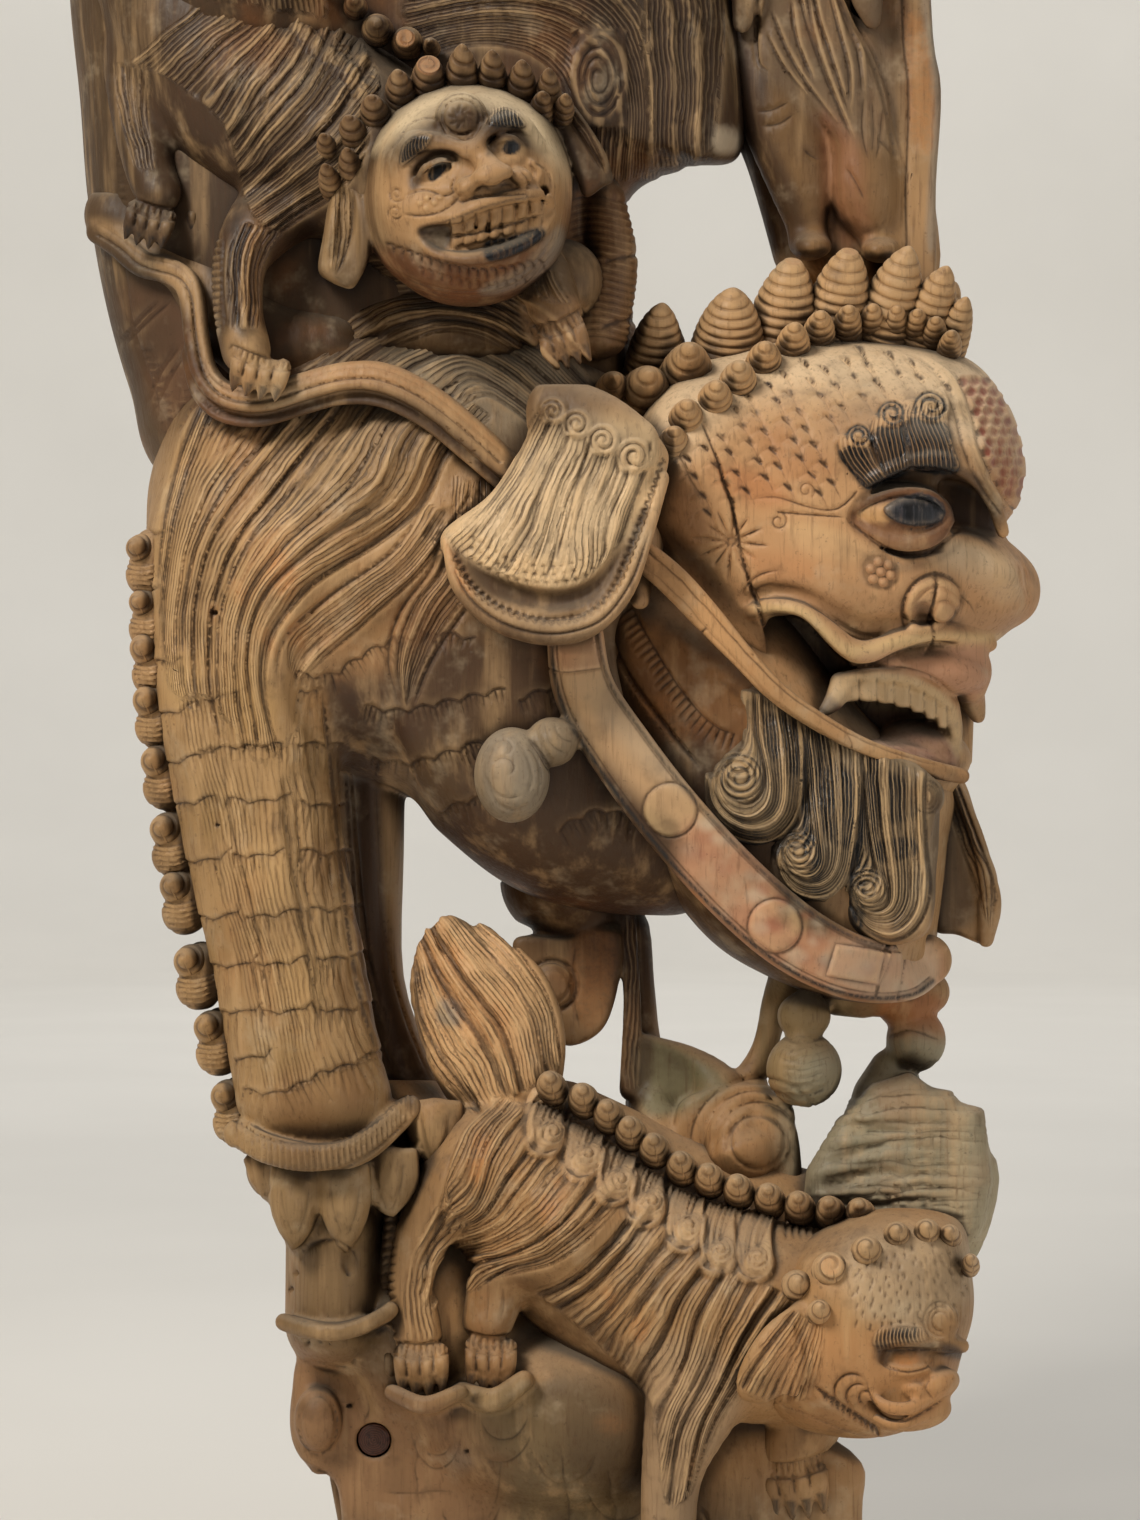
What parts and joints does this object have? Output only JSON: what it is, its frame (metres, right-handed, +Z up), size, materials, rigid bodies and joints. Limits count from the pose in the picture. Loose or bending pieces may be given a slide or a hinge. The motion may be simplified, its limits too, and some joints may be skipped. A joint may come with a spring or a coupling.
{
  "type": "carved wooden guardian lion bracket strut",
  "caption": "Carved timber bracket strut: a guardian lion head down with cubs and a standing figure, cut flat at the back, top and foot.",
  "frame": {"origin": "centre of the fixing area on the flat-cut back that bears on the column", "axes": "+Z up along the strut, +Y out of the flat back into the column, +X towards the side the great lion's head faces"},
  "size_m": [0.535, 0.2959, 1.122],
  "materials": {
    "carved_wood": "aged bare camphor-like wood, worn honey ridges, dark dusty grooves, traces of black and red paint",
    "peg_wood": "dark hardwood peg end"
  },
  "bodies": {
    "root": {"strut": "carved_wood", "peg": "peg_wood"}
  },
  "joints": []
}
